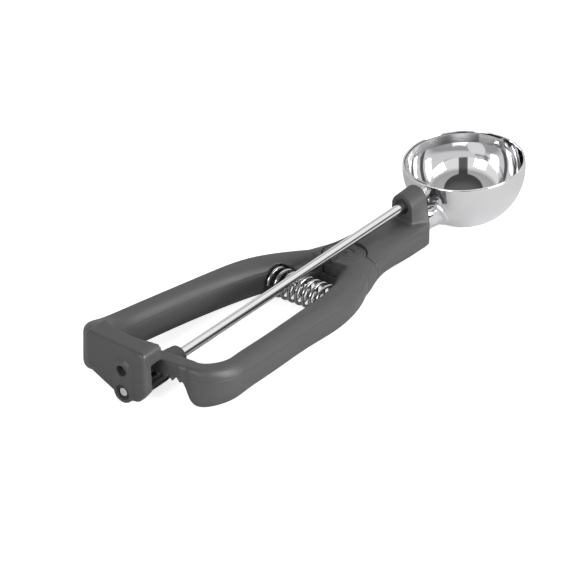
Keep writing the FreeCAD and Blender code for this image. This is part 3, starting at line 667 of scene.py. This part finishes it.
# %% The spring's node tree
def spring_tree(material):
    """Turns, radius, length and wire as named inputs."""
    tree = bpy.data.node_groups.new("return spring", "GeometryNodeTree")
    face = tree.interface
    face.new_socket("Geometry", in_out="OUTPUT", socket_type="NodeSocketGeometry")
    for title in ("Turns", "Radius", "Length", "Wire Radius"):
        face.new_socket(title, in_out="INPUT", socket_type="NodeSocketFloat")
    entry = add_node(tree, "NodeGroupInput")
    leave = add_node(tree, "NodeGroupOutput")
    spiral = add_node(tree, "GeometryNodeCurveSpiral")
    spiral.inputs["Resolution"].default_value = 48
    section = add_node(tree, "GeometryNodeCurvePrimitiveCircle")
    section.inputs["Resolution"].default_value = 16
    sweep = add_node(tree, "GeometryNodeCurveToMesh")
    sweep.inputs["Fill Caps"].default_value = True
    realize = add_node(tree, "GeometryNodeRealizeInstances")
    paint = add_node(tree, "GeometryNodeSetMaterial")
    paint.inputs["Material"].default_value = material
    links = tree.links
    links.new(entry.outputs["Turns"], spiral.inputs["Rotations"])
    links.new(entry.outputs["Radius"], spiral.inputs["Start Radius"])
    links.new(entry.outputs["Radius"], spiral.inputs["End Radius"])
    links.new(entry.outputs["Length"], spiral.inputs["Height"])
    links.new(entry.outputs["Wire Radius"], section.inputs["Radius"])
    links.new(spiral.outputs["Curve"], sweep.inputs["Curve"])
    links.new(section.outputs["Curve"], sweep.inputs["Profile Curve"])
    links.new(sweep.outputs["Mesh"], realize.inputs["Geometry"])
    links.new(realize.outputs["Geometry"], paint.inputs["Geometry"])
    links.new(paint.outputs["Geometry"], leave.inputs["Geometry"])
    return tree


# %% The return spring
SPRING_VALUES = {"Turns": 7.5, "Radius": 5.5 * MM, "Length": 26.4 * MM,
                 "Wire Radius": 0.7 * MM}
SPRING_START = -12.05 * MM


def make_spring():
    """The spring's mesh, laid along Y between its two seats."""
    tree = spring_tree(wire_steel)
    holder = bpy.data.objects.new("spring_start", bpy.data.meshes.new("spring_start"))
    scene.collection.objects.link(holder)
    maker = holder.modifiers.new("spring", "NODES")
    maker.node_group = tree
    for item in tree.interface.items_tree:
        if item.in_out == "INPUT":
            maker[item.identifier] = SPRING_VALUES[item.name]
    graph = bpy.context.evaluated_depsgraph_get()
    result = bpy.data.meshes.new_from_object(holder.evaluated_get(graph))
    bpy.data.objects.remove(holder)
    work = bmesh.new()
    work.from_mesh(result)
    lay_down = Matrix.Translation(SPRING_MIDDLE + Vector((0, SPRING_START, 0)))
    lay_down = lay_down @ Matrix.Rotation(-math.pi / 2, 4, "X")
    return finish_piece("spring_wire", work, lay_down, wire_steel,
                        "return_spring", sharp=50)


spring = make_spring()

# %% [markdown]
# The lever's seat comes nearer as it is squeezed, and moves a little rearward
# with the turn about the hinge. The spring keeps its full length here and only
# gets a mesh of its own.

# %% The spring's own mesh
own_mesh(spring)
print("spring shortens to", 0.872, "of its length")

# %% [markdown]
# ## The floor and the light
#
# The scoop lies on a plain pale floor. Polished steel shows only what is round
# it, so the surroundings matter more than the lamps: bright soft panels, darker
# gaps between them, and a dark patch where the photographer stands. The world
# draws them by direction, and the camera itself sees plain white behind.

# %% The floor
FLOOR_PALE = (0.86, 0.86, 0.86)
FLOOR_MIRRORED = (0.80, 0.80, 0.80)
FLOOR_GLOW = 0.75


def make_floor():
    """A large pale sheet under the scoop."""
    work = bmesh.new()
    bmesh.ops.create_grid(work, x_segments=1, y_segments=1, size=6.0)
    mesh = bpy.data.meshes.new("floor")
    work.to_mesh(mesh)
    work.free()
    sheet = bpy.data.objects.new("floor", mesh)
    scene.collection.objects.link(sheet)
    made, tree, shader, _ = new_material("pale floor")
    shader.inputs["Roughness"].default_value = 0.9
    shader.inputs["Emission Color"].default_value = (1.0, 1.0, 1.0, 1.0)
    rays = add_node(tree, "ShaderNodeLightPath")
    glow = math_node(tree, "MULTIPLY", rays.outputs["Is Camera Ray"], FLOOR_GLOW)
    tree.links.new(glow, shader.inputs["Emission Strength"])
    pale = mix_node(tree, rays.outputs["Is Glossy Ray"], FLOOR_PALE, FLOOR_MIRRORED)
    tree.links.new(pale, shader.inputs["Base Color"])
    mesh.materials.append(made)


make_floor()

# %% The surroundings
CAMERA_BACK = Vector((-0.694586, -0.565381, 0.444854))
CAMERA_RIGHT = Vector((0.635176, -0.772300, 0.010207))
CAMERA_UP = Vector((0.337790, 0.289650, 0.895545))
OVERHEAD = Vector((-0.20, -0.15, 0.968))
SIDE_GAP = Vector((0.73, -0.66, 0.17))
BRIGHT_PANEL = Vector((0.70, -0.18, 0.69))
STEM_HALF = 0.15
GAP_DEPTH = 0.86
DIFFUSE_LOSS = 0.30

# Grey by height: 0 is straight down, 0.5 the horizon and 1 straight up.
BANDS = [(0.46, 0.90), (0.50, 0.34), (0.535, 0.26), (0.565, 0.88), (0.74, 0.86),
         (0.79, 0.42), (0.90, 0.50), (0.96, 0.95)]


def dot_node(tree, direction, toward):
    """How nearly a direction points toward another."""
    made = add_node(tree, "ShaderNodeVectorMath", operation="DOT_PRODUCT")
    tree.links.new(direction, made.inputs[0])
    made.inputs[1].default_value = toward
    return made.outputs["Value"]


def patch(tree, direction, toward, near, far):
    """1 close to a direction and 0 away from it."""
    band = add_node(tree, "ShaderNodeMapRange")
    band.inputs["From Min"].default_value = far
    band.inputs["From Max"].default_value = near
    tree.links.new(dot_node(tree, direction, toward), band.inputs["Value"])
    return band.outputs["Result"]


def make_world():
    """Panels and gaps round the scoop, drawn by direction."""
    world = bpy.data.worlds.new("studio")
    scene.world = world
    world.use_nodes = True
    tree = world.node_tree
    back = tree.nodes["Background"]
    direction = add_node(tree, "ShaderNodeTexCoord").outputs["Generated"]
    parts = add_node(tree, "ShaderNodeSeparateXYZ")
    tree.links.new(direction, parts.inputs[0])
    height = math_node(tree, "ADD", math_node(
        tree, "MULTIPLY", parts.outputs["Z"], 0.5), 0.5)
    bands = ramp_node(tree, height, BANDS)
    over = patch(tree, direction, OVERHEAD, 0.83, 0.815)
    aside = math_node(tree, "ABSOLUTE", dot_node(tree, direction, CAMERA_RIGHT))
    stem = math_node(tree, "MULTIPLY", math_node(tree, "LESS_THAN", aside, STEM_HALF),
                     patch(tree, direction, CAMERA_BACK, 0.86, 0.84))
    side = patch(tree, direction, SIDE_GAP, 0.965, 0.955)
    panel = patch(tree, direction, BRIGHT_PANEL, 0.90, 0.86)
    cover = math_node(tree, "MAXIMUM", math_node(tree, "MAXIMUM", stem, over), side)
    light = math_node(tree, "MULTIPLY", bands, math_node(
        tree, "SUBTRACT", 1.0, math_node(tree, "MULTIPLY", cover, GAP_DEPTH)))
    light = math_node(tree, "MAXIMUM", light, panel)
    rays = add_node(tree, "ShaderNodeLightPath")
    soft = math_node(tree, "SUBTRACT", 1.0, math_node(
        tree, "MULTIPLY", rays.outputs["Is Diffuse Ray"], DIFFUSE_LOSS))
    light = math_node(tree, "MULTIPLY", light, soft)
    seen = add_node(tree, "ShaderNodeMix", data_type="FLOAT")
    tree.links.new(rays.outputs["Is Camera Ray"], seen.inputs["Factor"])
    tree.links.new(light, seen.inputs[2])
    seen.inputs[3].default_value = 1.0
    tree.links.new(seen.outputs[0], back.inputs["Color"])
    back.inputs["Strength"].default_value = 1.0


make_world()

# %% [markdown]
# ## The camera
#
# The photograph was taken with a long lens from behind and to the lever's
# side, some 26 degrees above the table. The camera stands two and a half
# metres off, which keeps the same slight perspective.

# %% Lamps and camera
def lamp(name, place, target, size, power):
    """A soft square panel that looks at a point."""
    data = bpy.data.lights.new(name, "AREA")
    data.size = size
    data.energy = power
    made = bpy.data.objects.new(name, data)
    scene.collection.objects.link(made)
    made.location = place
    aim = Vector(target) - Vector(place)
    made.rotation_euler = aim.to_track_quat("-Z", "Y").to_euler()


lamp("side_panel", (0.25, -1.6, 0.45), (-0.02, 0, 0), 0.9, 34.0)
lamp("rear_panel", (-1.7, -0.1, 0.45), (-0.08, 0, 0), 0.8, 13.0)
lamp("high_panel", (0.3, 0.5, 1.7), (0, 0, 0), 1.2, 5.0)

SENSOR_WIDTH = 36.0
PICTURE_WIDTH = 570
FOCAL_PIXELS = 6407.3
CAMERA_PLACE = (-1.753473, -1.411172, 1.124174)
camera_data = bpy.data.cameras.new("camera")
camera_data.sensor_width = SENSOR_WIDTH
camera_data.lens = FOCAL_PIXELS / PICTURE_WIDTH * SENSOR_WIDTH
camera_data.clip_start = 0.1
camera_data.clip_end = 50.0
camera = bpy.data.objects.new("camera", camera_data)
scene.collection.objects.link(camera)
turn = Matrix((CAMERA_RIGHT, CAMERA_UP, CAMERA_BACK)).transposed()
camera.matrix_world = Matrix.Translation(CAMERA_PLACE) @ turn.to_4x4()
scene.camera = camera
scene.view_settings.view_transform = "Standard"
print("camera:", [round(v, 3) for v in camera.location])
